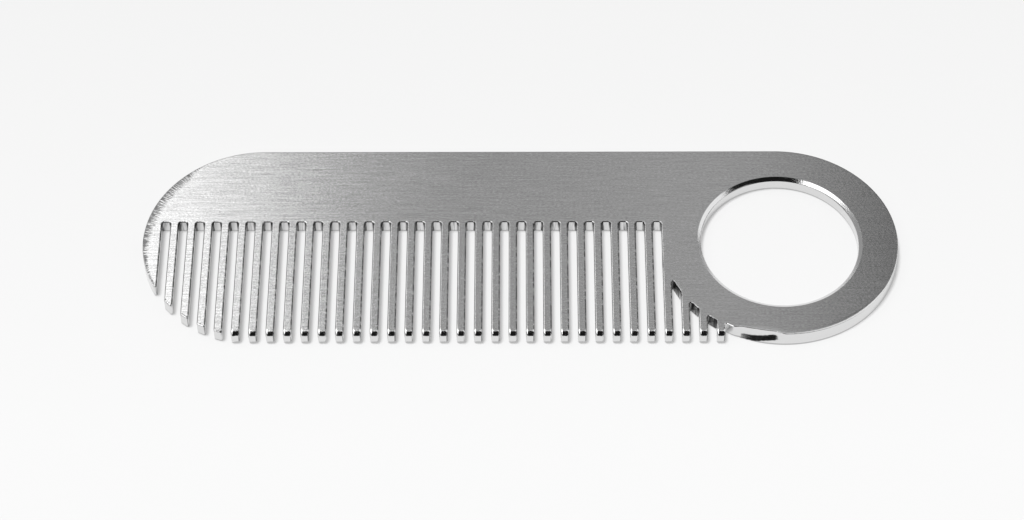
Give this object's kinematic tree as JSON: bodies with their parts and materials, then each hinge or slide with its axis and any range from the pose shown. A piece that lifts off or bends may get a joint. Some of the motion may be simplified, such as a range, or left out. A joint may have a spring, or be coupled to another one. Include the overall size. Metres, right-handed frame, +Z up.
{
  "type": "beard comb",
  "caption": "Flat pocket beard comb of brushed steel plate with one row of straight teeth, a straight spine and a finger ring at one end.",
  "frame": {"origin": "middle of the comb's length and width, on its underside", "axes": "+X along the comb towards the finger ring, +Y towards the straight spine, +Z up through the plate"},
  "size_m": [0.1016, 0.0318, 0.002],
  "materials": {
    "brushed_plate": "faces brushed along the comb, edges, slots and ring hole rounded and polished"
  },
  "bodies": {
    "root": {"comb_plate": "brushed_plate"}
  },
  "joints": []
}
